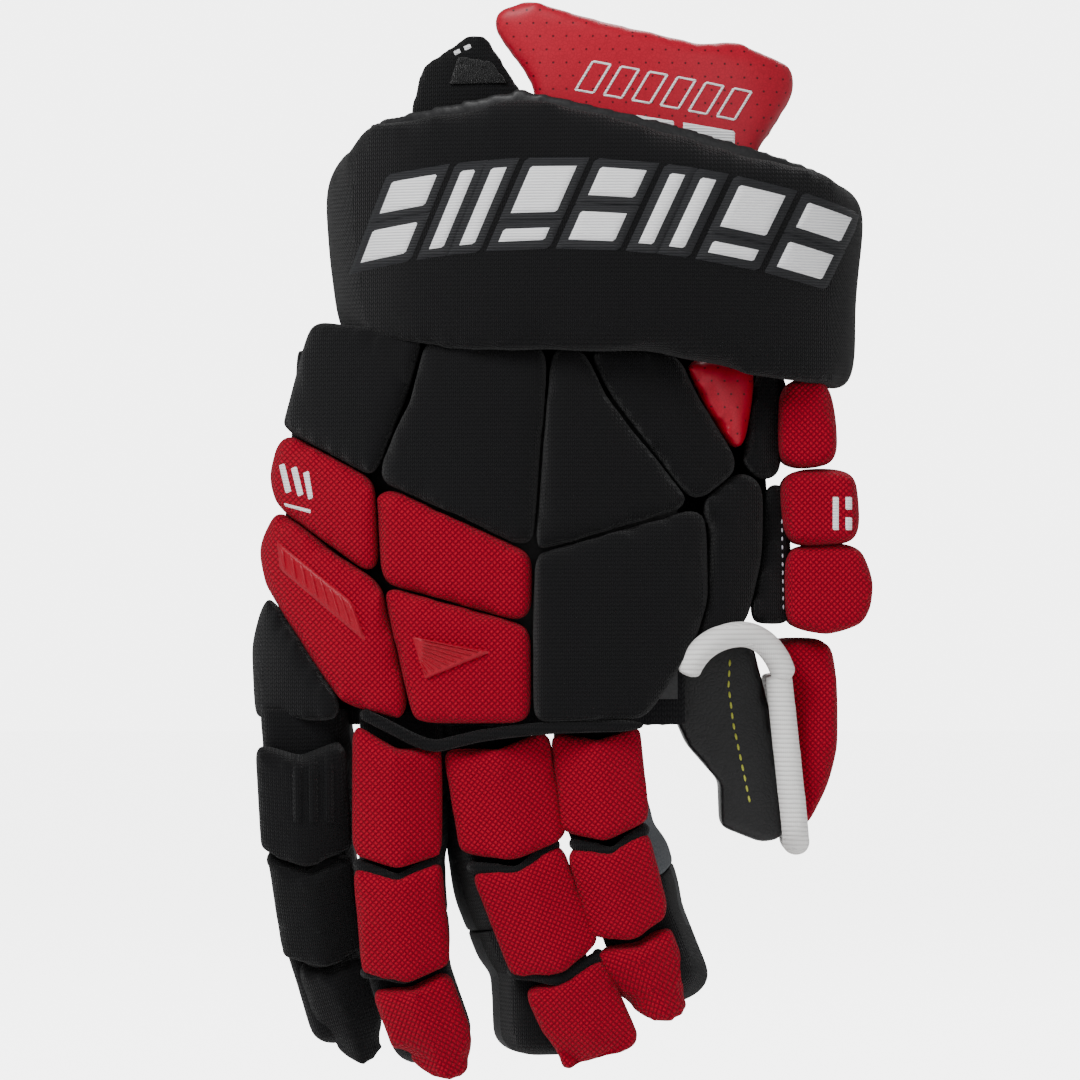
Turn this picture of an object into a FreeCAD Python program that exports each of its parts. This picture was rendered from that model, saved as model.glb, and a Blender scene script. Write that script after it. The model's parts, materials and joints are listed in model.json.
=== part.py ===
import FreeCAD, Part
import math
import os
import Sketcher

# Ice hockey glove, right hand. Fingers point down (-Z), the back of the hand faces -Y,
# the thumb is on +X and the origin lies in the mouth of the hand cavity.

doc = FreeCAD.newDocument("HockeyGlove")
V = FreeCAD.Vector

SIZES = {
    # seams between the padded panels and the soft edge of each panel
    "seam_half": 1.1,
    "edge_round": 3.2,
    "corner_round": 3.0,
    # back-of-hand shell: half width and half depth at the wrist and at the knuckles
    "wrist_half_w": 82, "wrist_half_d": 40, "knuckle_half_w": 93, "knuckle_half_d": 44,
    "wrist_in_w": 59, "wrist_in_d": 25, "knuckle_in_w": 66, "knuckle_in_d": 27,
    "shell_x": -4, "shell_top": 14, "shell_bottom": -136,
    # lining, palm and the hard plate behind the back panels
    "skin_gap": 0.4, "liner_wall": 2.5, "palm_wall": 2.2, "plate_wall": 2.4, "emblem_rise": 1.6,
    "side_wrist_w": 74, "side_wrist_d": 29, "side_knuckle_w": 84, "side_knuckle_d": 32,
    "hand_top": 3, "knuckle_z": -122, "knuckle_y": -7, "panel_end": -120.9,
    "sleeve_x": 14, "sleeve_w": 44, "sleeve_d": 25, "sleeve_top": 42, "sleeve_wall": 1.8,
    # cuff
    "cuff_x": 18, "cuff_low_w": 80, "cuff_low_d": 50, "cuff_top_w": 89, "cuff_top_d": 56,
    "cuff_low": -16, "cuff_top": 92, "cuff_wall": 17, "cuff_open_y": 14, "board_wall": 3,
    "tongue_w": 67, "tongue_d": 35, "tongue_low": 44, "tongue_top": 116, "tongue_wall": 8,
    "tab_wall": 4, "patch_wall": 1.2,
    # finger sections, measured in a segment's own frame
    "stall_w": 22, "stall_back": -17.5, "stall_palm": 8.5, "stall_wall": 1.6,
    "pad_back": -31, "pad_shoulder": -26, "pad_front": -18, "pad_end": 2.4,
    "hinge_gap": 0.35, "back_flare": 1.6, "palm_flare": 35, "wedge_reach": 60,
    # thumb
    "thumb_hinge_x": 62, "thumb_hinge_y": 8, "thumb_hinge_z": -93.5, "thumb_turn": 37,
    "thumb_back": -12, "thumb_front": 26, "stall_inset_y": 3, "thumb_wall": 2.2, "insert_wall": 2,
    "binding_r": 4.4, "binding_corner": 9, "binding_lean": -4,
}

# Seam corners of the back of the hand: (across, up)
CORNERS = {
    "wa": (-73, 4), "wb": (-36, -1), "wc": (3, -3), "wd": (13, -3.5), "we": (44, -5),
    "wf": (69.5, -6.5), "wg": (80, -9.5),
    "pa": (-83, -25.5), "pb": (-87.5, -41), "pc": (-84.5, -50.5), "pd": (-91, -64),
    "pe": (-88, -76), "pf": (-63, -113.5), "pg": (-40, -119.5),
    "ma": (-52.5, -42), "mb": (-50.5, -75), "mc": (-2, -65.5), "md": (-2.5, -88.5),
    "me": (-2.5, -119.5),
    "ia": (49, -50.5), "ib": (64.5, -38), "ic": (77, -40.5), "id": (71.5, -43.5),
    "fa": (53, -54), "fb": (53, -81), "fc": (48, -97.5), "fd": (34, -118),
    "ga": (71, -67), "gb": (66, -88),
    "ha": (80, -47), "hb": (81, -88.5),
    "ta": (93, -9.5), "tb": (95.5, -37), "tc": (79.5, -39), "td": (101, -38.5),
    "te": (102.5, -62), "tf": (81.5, -63.5), "tg": (106.5, -74), "th": (105.5, -87),
    "ti": (94.5, -91.5), "tj": (81.5, -89),
    "ja": (-64, -119), "jb": (-91.5, -119), "jc": (-93, -95),
    "ea": (-86, -60), "eb": (-59, -79.5), "ec": (-54, -96), "ed": (-85.5, -71),
    "ee": (-42, -90.5), "ef": (-13.5, -96), "eg": (-37, -106.5),
}

PANELS = {
    "pad_wrist_outer": "wa wb ma pa",
    "pad_wrist_middle": "wb wc mc ma",
    "pad_wrist_centre": "wc wd ia mc",
    "pad_wrist_inner": "wd we ib ia",
    "perforated_insert": "we wf ib",
    "wrist_side_roll": "wf wg ic id ib",
    "pad_back_upper_outer": "pa ma mb pc pb",
    "pad_back_upper_inner": "ma mc md mb",
    "pad_back_lower_outer": "pc mb pg pf pe pd",
    "pad_back_lower_inner": "mb md me pg",
    "pad_pinky_knuckle": "pe pf ja jb jc",
    "pad_index_knuckle": "mc ia fa fb fc fd me md",
    "web_knit_roll": "ia ib id ga gb fc fb fa",
    "web_edge_pad": "id ic ha hb gb ga",
}

# Thumb-side panels: corners, back face and front face
SIDE_PANELS = {
    "thumb_cuff_pad": ("wg ta tb tc", -24, 12),
    "thumb_wrist_pad": ("tc td te tf", -24, 16),
    "thumb_base_pad": ("tf te tg th ti tj", -22, 20),
}

# Finger joints and tip (across, depth, up), then per section the cushion's width and how far
# the palm side of its stall leans sideways
FINGERS = {
    "index": ((17.5, -7, -122), (22, -6, -155.5), (30, -2, -184.5), (39.5, 4, -211), 26, 23.5, 21.5, 2, 6, 6),
    "middle": ((-14.5, -7, -122), (-8.5, -6, -162), (5, -2, -196.5), (18, 4, -225.5), 27.5, 26, 24, -5, -9, -9),
    "ring": ((-45.5, -7, -122), (-45.5, -5, -164), (-42.5, -1, -199), (-30, 6, -233.5), 26, 26, 23.5, 0, 0, 0),
    "pinky": ((-77, -4, -122), (-76, 7, -157), (-72, 19, -189), (-62.5, 34, -222), 25, 22, 19.5, 0, 0, 0),
}
JOINTS = ("knuckle", "middle_joint", "end_joint", "tip")

# Outlines of the cuff and thumb pieces, seen from the back of the hand: (across, up)
OUTLINES = {
    "cuff": [(-69, 50), (-54, 73), (-6, 82), (42, 71), (89, 58), (103, 46), (98.5, 15), (102, -3),
             (91, -6.5), (77, -5), (31, 2), (-15, 2.5), (-49, 4.5), (-62, 10)],
    "tongue": [(-14.5, 107), (-4, 111), (23, 104.5), (51, 98), (62.5, 98.5), (80, 91), (81, 84),
               (70, 63), (66, 46), (0, 46), (-3, 82), (-14.5, 102)],
    "tab": [(-41, 75), (-37, 90), (-22, 100), (-17, 99), (-5.5, 81), (-4, 56), (-34, 56)],
    "patch": [(-29, 84), (-26, 93), (-15.5, 91), (-10, 84)],
    "thumb_shell": [(71, -93), (92, -93), (94, -106), (94, -127), (91, -140), (85, -152),
                    (80.5, -155), (80.5, -115), (77.5, -103)],
    "thumb_stall": [(48, -92), (40.5, -112), (47, -127), (57.5, -139), (58, -153), (68, -158.5),
                    (75, -157), (75.5, -136), (73, -118), (68, -92)],
}

sheet = doc.addObject("Spreadsheet::Sheet", "Sizes")
row = 0


def store(alias, value):
    global row
    row += 1
    sheet.set(f"A{row}", alias)
    sheet.set(f"B{row}", str(value))
    sheet.setAlias(f"B{row}", alias)


for alias, value in SIZES.items():
    store(alias, value)
for corner, (across, up) in CORNERS.items():
    store(f"{corner}_across", across)
    store(f"{corner}_up", up)
for name, (corners, back, front) in SIDE_PANELS.items():
    store(f"{name}_back", back)
    store(f"{name}_front", front)
for name, points in OUTLINES.items():
    for index, (across, up) in enumerate(points, 1):
        store(f"{name}_{index}_across", across)
        store(f"{name}_{index}_up", up)
for finger, data in FINGERS.items():
    for joint, point in zip(JOINTS, data[:4]):
        for axis, value in zip(("across", "depth", "up"), point):
            store(f"{finger}_{joint}_{axis}", value)
    for index in (1, 2, 3):
        store(f"{finger}_width_{index}", data[3 + index])
        store(f"{finger}_skew_{index}", data[6 + index])
doc.recompute()


class Term:
    """A sheet formula together with its present value."""

    def __init__(self, value, text):
        self.value = value
        self.text = text

    def join(self, other, sign, value):
        other_text = other.text if isinstance(other, Term) else f"{other:g}"
        return Term(value, f"({self.text} {sign} {other_text})")

    def __add__(self, other):
        return self.join(other, "+", self.value + number(other))

    def __sub__(self, other):
        return self.join(other, "-", self.value - number(other))

    def __mul__(self, other):
        return self.join(other, "*", self.value * number(other))

    def __truediv__(self, other):
        return self.join(other, "/", self.value / number(other))

    def __neg__(self):
        return Term(-self.value, f"(-{self.text})")


def number(item):
    return item.value if isinstance(item, Term) else item


def text(item):
    return item.text if isinstance(item, Term) else f"{item:g}"


def S(alias):
    return Term(float(sheet.get(alias)), f"Sizes.{alias}")


def bind(obj, **links):
    for prop, term in links.items():
        obj.setExpression(prop, text(term))
    return obj


def place(x=0, y=0, z=0, turns=()):
    """Placement formula: a spot and a chain of turns given as (axis, formula)."""
    spot = f"vector({text(x)}; {text(y)}; {text(z)})"
    turn = " * ".join(f"rotation(vector({axis}); {formula})" for axis, formula in turns)
    return f"placement({spot}; {turn or 'rotation(vector(0; 0; 1); 0)'})"


def new_body(name, where=None):
    body = doc.addObject("PartDesign::Body", name)
    if where:
        body.setExpression("Placement", where)
    return body


def new_sketch(body, role, name):
    plane = [item for item in body.Origin.OriginFeatures if item.Role == role][0]
    sketch = body.newObject("Sketcher::SketchObject", name)
    sketch.AttachmentSupport = (plane, [""])
    sketch.MapMode = "FlatFace"
    return sketch


def draw_loop(sketch, points):
    """Closed loop of straight lines whose corners follow the sheet."""
    first = sketch.GeometryCount
    count = len(points)
    spots = [V(number(x), number(y), 0) for x, y in points]
    for i in range(count):
        sketch.addGeometry(Part.LineSegment(spots[i], spots[(i + 1) % count]), False)
    for i in range(count):
        following = first + (i + 1) % count
        sketch.addConstraint(Sketcher.Constraint("Coincident", first + i, 2, following, 1))
    for i, (x, y) in enumerate(points):
        for kind, term in (("DistanceX", x), ("DistanceY", y)):
            index = sketch.addConstraint(Sketcher.Constraint(kind, -1, 1, first + i, 1, number(term)))
            if isinstance(term, Term):
                sketch.setExpression(f"Constraints[{index}]", term.text)


def edges_along(shape, direction):
    """Names of the straight edges that run along a direction."""
    names = []
    for index, edge in enumerate(shape.Edges, 1):
        if type(edge.Curve).__name__ == "Line":
            run = edge.Vertexes[-1].Point - edge.Vertexes[0].Point
            if abs(run.normalize().dot(direction)) > 0.999:
                names.append(f"Edge{index}")
    return names


def prism(name, points, role, length, where=None, rounding=None, direction=None, reverse=False):
    """Body with one outline, its pad and, where asked, rounded long edges."""
    body = new_body(name, where)
    sketch = new_sketch(body, role, f"{name}_outline")
    draw_loop(sketch, points)
    pad = body.newObject("PartDesign::Pad", f"{name}_pad")
    pad.Profile = sketch
    pad.Reversed = reverse
    bind(pad, Length=length)
    body.Tip = pad
    doc.recompute()
    if rounding is not None:
        fillet = body.newObject("PartDesign::Fillet", f"{name}_rounding")
        fillet.Base = (pad, edges_along(pad.Shape, direction))
        bind(fillet, Radius=rounding)
        body.Tip = fillet
        doc.recompute()
    return body


def cut(name, base, *tools):
    """Base less each tool."""
    for index, tool in enumerate(tools):
        result = doc.addObject("Part::Cut", name if index == len(tools) - 1 else f"{name}_step_{index}")
        result.Base = base
        result.Tool = tool
        base = result
    doc.recompute()
    return base


def common(name, *items):
    result = doc.addObject("Part::MultiCommon", name)
    result.Shapes = list(items)
    doc.recompute()
    return result


def block(name, x, y, z, length, width, height, where=None):
    """Box from its low corner."""
    box = doc.addObject("Part::Box", name)
    bind(box, Length=length, Width=width, Height=height)
    box.setExpression("Placement", where or place(x, y, z))
    return box


def ring(name, half_w, half_d, x, z):
    oval = doc.addObject("Part::Ellipse", name)
    bind(oval, MajorRadius=half_w, MinorRadius=half_d)
    oval.setExpression("Placement", place(x, 0, z))
    return oval


def form(name, sections):
    """Solid through a stack of ovals: (half width, half depth, across, up)."""
    loft = doc.addObject("Part::Loft", name)
    loft.Sections = [ring(f"{name}_oval_{i}", *section) for i, section in enumerate(sections)]
    loft.Solid = True
    loft.Ruled = True
    doc.recompute()
    return loft


def seam(names):
    return [(S(f"{name}_across"), S(f"{name}_up")) for name in names.split()]


def inset_loop(spots, inset):
    """Loop of corners, each moved in from its two sides by the same distance."""
    count = len(spots)
    flat = [(number(x), number(z)) for x, z in spots]
    area = sum(flat[i - 1][0] * flat[i][1] - flat[i][0] * flat[i - 1][1] for i in range(count))
    side = 1 if area > 0 else -1
    loop = []
    for i in range(count):
        before, here, after = flat[i - 1], flat[i], flat[(i + 1) % count]
        ax, az = unit(before, here)
        bx, bz = unit(here, after)
        nx, nz = -(az + bz) * side, (ax + bx) * side
        scale = 1 / (1 + ax * bx + az * bz)
        mitre = (nx * scale, nz * scale)
        loop.append(tuple(term + inset * round(part, 4) for term, part in zip(spots[i], mitre)))
    return loop


def unit(start, end):
    dx, dz = end[0] - start[0], end[1] - start[1]
    reach = math.hypot(dx, dz)
    return dx / reach, dz / reach


NODES = {}


def node(name, item):
    item.Label = name
    NODES[name] = item
    return item


# Forms of the hand
def hand_form(name, kind, grow):
    return form(name, [
        (S(f"{kind[0]}_w") + grow, S(f"{kind[0]}_d") + grow, S("shell_x"), S("shell_top")),
        (S(f"{kind[1]}_w") + grow, S(f"{kind[1]}_d") + grow, S("shell_x"), S("shell_bottom")),
    ])


OUTSIDE = ("wrist_half", "knuckle_half")
INSIDE = ("wrist_in", "knuckle_in")
SIDE = ("side_wrist", "side_knuckle")
plate_out = S("skin_gap") + S("plate_wall")
outer_form = hand_form("outer_form", OUTSIDE, 0)
emblem_form = hand_form("emblem_form", OUTSIDE, S("emblem_rise"))
panel_form = hand_form("panel_form", INSIDE, plate_out + S("skin_gap"))
plate_form = hand_form("plate_form", INSIDE, plate_out)
palm_form = hand_form("palm_form", INSIDE, S("palm_wall"))
lining_form = hand_form("lining_form", INSIDE, 0)
skin_form = hand_form("skin_form", INSIDE, -S("skin_gap"))
hollow_form = hand_form("hollow_form", INSIDE, -(S("skin_gap") + S("liner_wall")))
side_form = hand_form("side_form", SIDE, 0)

back_shell = cut("back_shell", outer_form, panel_form)
emblem_shell = cut("emblem_shell", emblem_form, outer_form)
plate_shell = cut("plate_shell", plate_form, lining_form)
palm_shell = cut("palm_shell", palm_form, lining_form)
liner_shell = cut("liner_shell", skin_form, hollow_form)
side_shell = cut("side_shell", side_form, panel_form)


def wedge(name, where, side):
    """Block on one side of a hinge: -1 lies below the hinge line, 1 above it."""
    edge = S("wedge_reach")
    gap = S("hinge_gap") * -side
    body = new_body(name, where)
    sketch = new_sketch(body, "YZ_Plane", f"{name}_outline")
    draw_loop(sketch, [
        (-edge, gap - S("back_flare") * side),
        (0, gap),
        (edge, gap - S("palm_flare") * side),
        (edge, edge * (1.3 * side)),
        (-edge, edge * (1.3 * side)),
    ])
    pad = body.newObject("PartDesign::Pad", f"{name}_pad")
    pad.Profile = sketch
    pad.Midplane = True
    bind(pad, Length=edge * 4)
    body.Tip = pad
    doc.recompute()
    return body


knuckle_line = place(0, S("knuckle_y"), S("knuckle_z"))
below_knuckles = wedge("below_knuckles", knuckle_line, -1)
above_knuckles = wedge("above_knuckles", knuckle_line, 1)
thumb_line = place(S("thumb_hinge_x"), S("thumb_hinge_y"), S("thumb_hinge_z"), [("0; 0; 1", text(S("thumb_turn")))])
below_thumb = wedge("below_thumb", thumb_line, -1)
above_thumb = wedge("above_thumb", thumb_line, 1)


# Padded panels on the back of the hand
def panel(name, corners, shell):
    flat = prism(f"{name}_block", inset_loop(seam(corners), S("seam_half")), "XZ_Plane",
                 S("knuckle_half_d") + 12, place(0, -S("skin_gap"), 0), S("corner_round") * 0.5, V(0, 1, 0))
    return common(f"{name}_panel", flat, shell)


for name, corners in PANELS.items():
    node(name, panel(name, corners, back_shell))
node("emblem_ribbed", panel("emblem_ribbed", "ea eb ec ed", emblem_shell))
node("emblem_triangle", panel("emblem_triangle", "ee ef eg", emblem_shell))

for name, (corners, _, _) in SIDE_PANELS.items():
    node(name, prism(name, inset_loop(seam(corners), S("seam_half")), "XZ_Plane",
                     S(f"{name}_front") - S(f"{name}_back"), place(0, S(f"{name}_front"), 0),
                     S("corner_round"), V(0, 1, 0)))

trim_box = block("trim_box", -58, -60, S("panel_end"), 92, 45, 1.9)
trim = common("trim_strip", trim_box, back_shell)
node("knuckle_trim", trim)
plate_box = block("plate_box", -54, -60, -112, 98, 50, 96)
node("back_plate", common("back_plate_sheet", plate_box, plate_shell))

# Lining, palm and side panels
top_cap = block("top_cap", -150, -100, S("hand_top"), 300, 200, 40)
thumb_window = block("thumb_window", 38, 0, -95, 60, 21, 27)
thumb_swing = block("thumb_swing", 28, -15, -130, 60, 50, 36)
node("hand_liner", cut("hand_liner_tube", liner_shell, top_cap, below_knuckles, thumb_window,
                            thumb_swing))
palm_box = block("palm_box", -56, 5, -150, 108, 60, 152)
node("palm_leather", cut("palm_leather_sheet", common("palm_leather_blank", palm_shell, palm_box),
                         below_knuckles, thumb_window, thumb_swing))
pinky_box = block("pinky_box", -120, 0.4, -150, 80, 60, 150)
node("pinky_side_panel", cut("pinky_side_skin", common("pinky_side_blank", side_shell, pinky_box),
                             below_knuckles))
gusset_box = block("gusset_box", 40, 0.4, -94, 80, 60, 90)
node("thumb_gusset", cut("thumb_gusset_skin", common("thumb_gusset_blank", side_shell, gusset_box),
                         below_thumb, thumb_window))

sleeve_out = form("sleeve_out", [(S("sleeve_w"), S("sleeve_d"), S("sleeve_x"), z)
                                 for z in (S("hand_top") + S("skin_gap"), S("sleeve_top"))])
sleeve_in = form("sleeve_in", [(S("sleeve_w") - S("sleeve_wall"), S("sleeve_d") - S("sleeve_wall"), S("sleeve_x"), z)
                               for z in (S("hand_top") - 1, S("sleeve_top") + 1)])
node("wrist_sleeve", cut("wrist_sleeve_tube", sleeve_out, sleeve_in))


# Cuff
def cuff_form(name, inward):
    return form(name, [
        (S("cuff_low_w") - inward, S("cuff_low_d") - inward, S("cuff_x"), S("cuff_low")),
        (S("cuff_top_w") - inward, S("cuff_top_d") - inward, S("cuff_x"), S("cuff_top")),
    ])


def tongue_form(name, inward):
    return form(name, [(S("tongue_w") - inward, S("tongue_d") - inward, S("cuff_x"), z)
                       for z in (S("tongue_low"), S("tongue_top"))])


def outline(name):
    return [(S(f"{name}_{index}_across"), S(f"{name}_{index}_up"))
            for index in range(1, len(OUTLINES[name]) + 1)]


def curtain(name, points):
    """Outline carried right through the object from front to back."""
    return prism(name, points, "XZ_Plane", S("wedge_reach") * 2, place(0, S("wedge_reach"), 0))


cuff_block = curtain("cuff_block", outline("cuff"))
cuff_mouth = block("cuff_mouth", -150, S("cuff_open_y"), -40, 300, 100, 160)
cuff_out = cuff_form("cuff_out", 0)
board_out = cuff_form("board_out", S("cuff_wall") - S("board_wall") - S("skin_gap"))
board_edge = cuff_form("board_edge", S("cuff_wall") - S("board_wall"))
board_in = cuff_form("board_in", S("cuff_wall"))
node("cuff_roll", cut("cuff_roll_pad", common("cuff_roll_blank", cuff_block, cut("cuff_shell", cuff_out, board_out)),
                      cuff_mouth))
node("cuff_board", cut("cuff_board_sheet", common("cuff_board_blank", cuff_block,
                                                  cut("board_shell", board_edge, board_in)), cuff_mouth))

tongue_out = tongue_form("tongue_out", 0)
tongue_in = tongue_form("tongue_in", S("tongue_wall"))
tab_in = tongue_form("tab_in", S("tab_wall"))
patch_out = tongue_form("patch_out", -S("patch_wall"))
front_half = block("front_half", -150, -100, -40, 300, 98, 220)
node("cuff_tongue", common("cuff_tongue_pad", curtain("tongue_block", outline("tongue")),
                           cut("tongue_shell", tongue_out, tongue_in), front_half))
node("cuff_tab", common("cuff_tab_sheet", curtain("tab_block", outline("tab")),
                        cut("tab_shell", tongue_out, tab_in), front_half))
node("tab_loop_patch", common("tab_loop_sheet", curtain("patch_block", outline("patch")),
                              cut("patch_shell", patch_out, tongue_out), front_half))

# Thumb: shell pad, hard insert, stall and the knitted binding along their seam
shell_block = prism("thumb_shell_block", outline("thumb_shell"), "XZ_Plane",
                    S("thumb_front") - S("thumb_back"), place(0, S("thumb_front"), 0),
                    S("corner_round") * 0.6, V(0, 1, 0))
insert_box = block("insert_box", S("thumb_hinge_x") + 22, -2, -136, S("insert_wall"), 20, 34)
node("thumb_insert", insert_box)
insert_room = block("insert_room", S("thumb_hinge_x") + 22 - S("skin_gap"), -2 - 0.4, -136 - 0.4,
                    S("insert_wall") + S("skin_gap") * 2, 20.8, 34.8)
node("thumb_shell_pad", cut("thumb_shell_cushion", shell_block, above_thumb, insert_room))

stall_low = S("thumb_back") + S("stall_inset_y")
stall_high = S("thumb_front") - S("stall_inset_y")
stall_block = prism("thumb_stall_block", outline("thumb_stall"), "XZ_Plane", stall_high - stall_low,
                    place(0, stall_high, 0), S("corner_round") * 0.6, V(0, 1, 0))
stall_room = prism("thumb_stall_room", inset_loop(outline("thumb_stall"), S("thumb_wall")), "XZ_Plane",
                   stall_high - stall_low - S("thumb_wall") * 2, place(0, stall_high - S("thumb_wall"), 0))
stall_mouth = block("thumb_stall_mouth", 50, stall_low + S("thumb_wall"), -104, 17,
                    stall_high - stall_low - S("thumb_wall") * 2, 30)
node("thumb_stall", cut("thumb_stall_skin", stall_block, above_thumb, stall_room, stall_mouth))


def cord(name, points, radius):
    """Round cord swept along a smooth line through its points."""
    path = doc.addObject("Part::Feature", f"{name}_path")
    line = Part.BSplineCurve()
    line.interpolate([V(*[number(part) for part in point]) for point in points])
    path.Shape = line.toShape()
    start = V(*[number(part) for part in points[0]])
    ring_end = doc.addObject("Part::Circle", f"{name}_end")
    bind(ring_end, Radius=radius)
    ring_end.Placement = FreeCAD.Placement(start, FreeCAD.Rotation(V(0, 0, 1), line.tangent(line.FirstParameter)[0]))
    sweep = doc.addObject("Part::Sweep", f"{name}_cord")
    sweep.Sections = [ring_end]
    sweep.Spine = (path, ["Edge1"])
    sweep.Solid = True
    sweep.Frenet = False
    doc.recompute()
    return sweep


def hoop(name, radius, across, front, rear, top, bottom, corner, lean):
    """U-shaped cord in an upright plane: down the front, under the tip and up the rear."""
    body = new_body(name, place(across, 0, top, [("0; 1; 0", text(lean))]))
    ring_sketch = new_sketch(body, "XY_Plane", f"{name}_section")
    ring_sketch.addGeometry(Part.Circle(V(0, number(front), 0), V(0, 0, 1), number(radius)), False)
    ring_sketch.addConstraint(Sketcher.Constraint("PointOnObject", 0, 3, -2))
    for kind, ends, term in (("DistanceY", (-1, 1, 0, 3), front), ("Radius", (0,), radius)):
        index = ring_sketch.addConstraint(Sketcher.Constraint(kind, *ends, number(term)))
        ring_sketch.setExpression(f"Constraints[{index}]", text(term))
    path = new_sketch(body, "YZ_Plane", f"{name}_path")
    low = bottom - top
    y0, y1, z1, r = number(front), number(rear), number(low), number(corner)
    legs = [((y0, 0), (y0, z1 + r)), ((y0 + r, z1), (y1 - r, z1)), ((y1, z1 + r), (y1, 0))]
    for leg_start, leg_end in legs:
        path.addGeometry(Part.LineSegment(V(*leg_start, 0), V(*leg_end, 0)), False)
    for centre_y, turn in ((y0 + r, math.pi), (y1 - r, 1.5 * math.pi)):
        circle = Part.Circle(V(centre_y, z1 + r, 0), V(0, 0, 1), r)
        path.addGeometry(Part.ArcOfCircle(circle, turn, turn + math.pi / 2), False)
    path.addConstraint([
        Sketcher.Constraint("Tangent", 0, 2, 3, 1), Sketcher.Constraint("Tangent", 3, 2, 1, 1),
        Sketcher.Constraint("Tangent", 1, 2, 4, 1), Sketcher.Constraint("Tangent", 4, 2, 2, 1),
        Sketcher.Constraint("Vertical", 0), Sketcher.Constraint("Horizontal", 1),
        Sketcher.Constraint("Vertical", 2), Sketcher.Constraint("Equal", 3, 4),
        Sketcher.Constraint("PointOnObject", 0, 1, -1), Sketcher.Constraint("PointOnObject", 2, 2, -1),
    ])
    for kind, ends, term in (("DistanceX", (-1, 1, 0, 1), front), ("DistanceX", (-1, 1, 2, 2), rear),
                             ("DistanceY", (-1, 1, 1, 1), low), ("Radius", (3,), corner)):
        index = path.addConstraint(Sketcher.Constraint(kind, *ends, number(term)))
        path.setExpression(f"Constraints[{index}]", text(term))
    pipe = body.newObject("PartDesign::AdditivePipe", f"{name}_pipe")
    pipe.Profile = ring_sketch
    pipe.Spine = (path, [f"Edge{i}" for i in range(1, 6)])
    body.Tip = pipe
    doc.recompute()
    return body


node("thumb_binding", hoop(
    "thumb_binding", S("binding_r"), S("thumb_shell_9_across") - S("skin_gap") * 3,
    S("thumb_back") - S("binding_r") - S("skin_gap") * 2, S("thumb_front") + S("binding_r") + S("skin_gap") * 2,
    S("thumb_hinge_z") - 11, S("thumb_shell_7_up") - S("binding_r") * 1.8, S("binding_corner"),
    S("binding_lean")))
web_y = -S("knuckle_half_d")
node("web_binding", cord("web_binding", [
    (48, web_y + 10, -105), (53.5, web_y + 12, -101.5), (60, web_y + 15, -97.5), (68, web_y + 20, -95.8),
], S("binding_r")))


# Fingers: three sections each, every section a cushion and a hollow stall
def spot(finger, joint):
    return [S(f"{finger}_{joint}_{axis}") for axis in ("across", "depth", "up")]


def lean(start, end):
    """Sideways tilt and forward curl of the line between two joints."""
    dx, dy, dz = (b - a for a, b in zip(start, end))
    tilt = f"(-atan({text(dx)} / {text(-dz)}))"
    curl = f"atan({text(dy)} / sqrt({text(dx)} ^ 2 + {text(dz)} ^ 2))"
    return tilt, curl


def section_place(start, tilt, curl):
    return place(*start, [("0; 1; 0", tilt), ("1; 0; 0", curl)])


def finger_sections(finger):
    points = [spot(finger, joint) for joint in JOINTS]
    leans = [lean(points[i], points[i + 1]) for i in range(3)]
    below, above = [], [above_knuckles]
    for i in (1, 2):
        middle = [f"({leans[i - 1][k]} + {leans[i][k]}) / 2" for k in (0, 1)]
        where = section_place(points[i], *middle)
        below.append(wedge(f"{finger}_below_{i}", where, -1))
        above.append(wedge(f"{finger}_above_{i}", where, 1))
    for i in range(3):
        name = f"{finger}_{i + 1}"
        where = section_place(points[i], *leans[i])
        dx, dy, dz = (b - a for a, b in zip(points[i], points[i + 1]))
        run = Term(math.sqrt(dx.value ** 2 + dy.value ** 2 + dz.value ** 2),
                   f"sqrt({dx.text} ^ 2 + {dy.text} ^ 2 + {dz.text} ^ 2)")
        last = i == 2
        tools = [above[i]] if last else [above[i], below[i]]
        half = S(f"{finger}_width_{i + 1}") / 2
        cushion = finger_cushion(name, half, run, where, last)
        node(f"{name}_pad", cut(f"{name}_cushion", cushion, *tools))
        outer, hollow = finger_stall(name, S(f"{finger}_skew_{i + 1}"), run, where, last)
        node(f"{name}_stall", cut(f"{name}_skin", outer, hollow, *tools))


def finger_cushion(name, half, run, where, last):
    """Ridged pad that stops short of both joints."""
    ridge = [(-half, S("pad_front")), (-half, S("pad_shoulder")), (Term(0, "0"), S("pad_back")),
             (half, S("pad_shoulder")), (half, S("pad_front"))]
    bar = prism(f"{name}_bar", ridge, "XY_Plane", run - S("pad_end") * (0 if last else 1), where,
                S("edge_round") * 0.7, V(0, 0, 1), True)
    return bar


def finger_stall(name, skew, run, where, last):
    half = S("stall_w") / 2
    wall = S("stall_wall")
    box = [(-half, S("stall_back")), (half, S("stall_back")),
           (half + skew, S("stall_palm")), (-half + skew, S("stall_palm"))]
    room = inset_loop(box, wall)
    outer = prism(f"{name}_tube", box, "XY_Plane", run + (0 if last else 4), where, S("edge_round"), V(0, 0, 1), True)
    hollow = prism(f"{name}_room", room, "XY_Plane", run - wall if last else run + 6, where,
                   S("edge_round") - wall, V(0, 0, 1), True)
    return outer, hollow


for finger in FINGERS:
    finger_sections(finger)


# Check and write
os.makedirs("parts", exist_ok=True)
doc.recompute()
for obj in doc.Objects:
    if "Invalid" in obj.State or "Error" in obj.State:
        raise RuntimeError(f"{obj.Name} did not rebuild")
for name, item in NODES.items():
    if item.Shape.isNull() or not item.Shape.isValid() or len(item.Shape.Solids) != 1:
        raise RuntimeError(f"{name} has no valid solid")
    item.Shape.exportStep(f"parts/{name}.step")
print(len(NODES), "nodes written")
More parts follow.
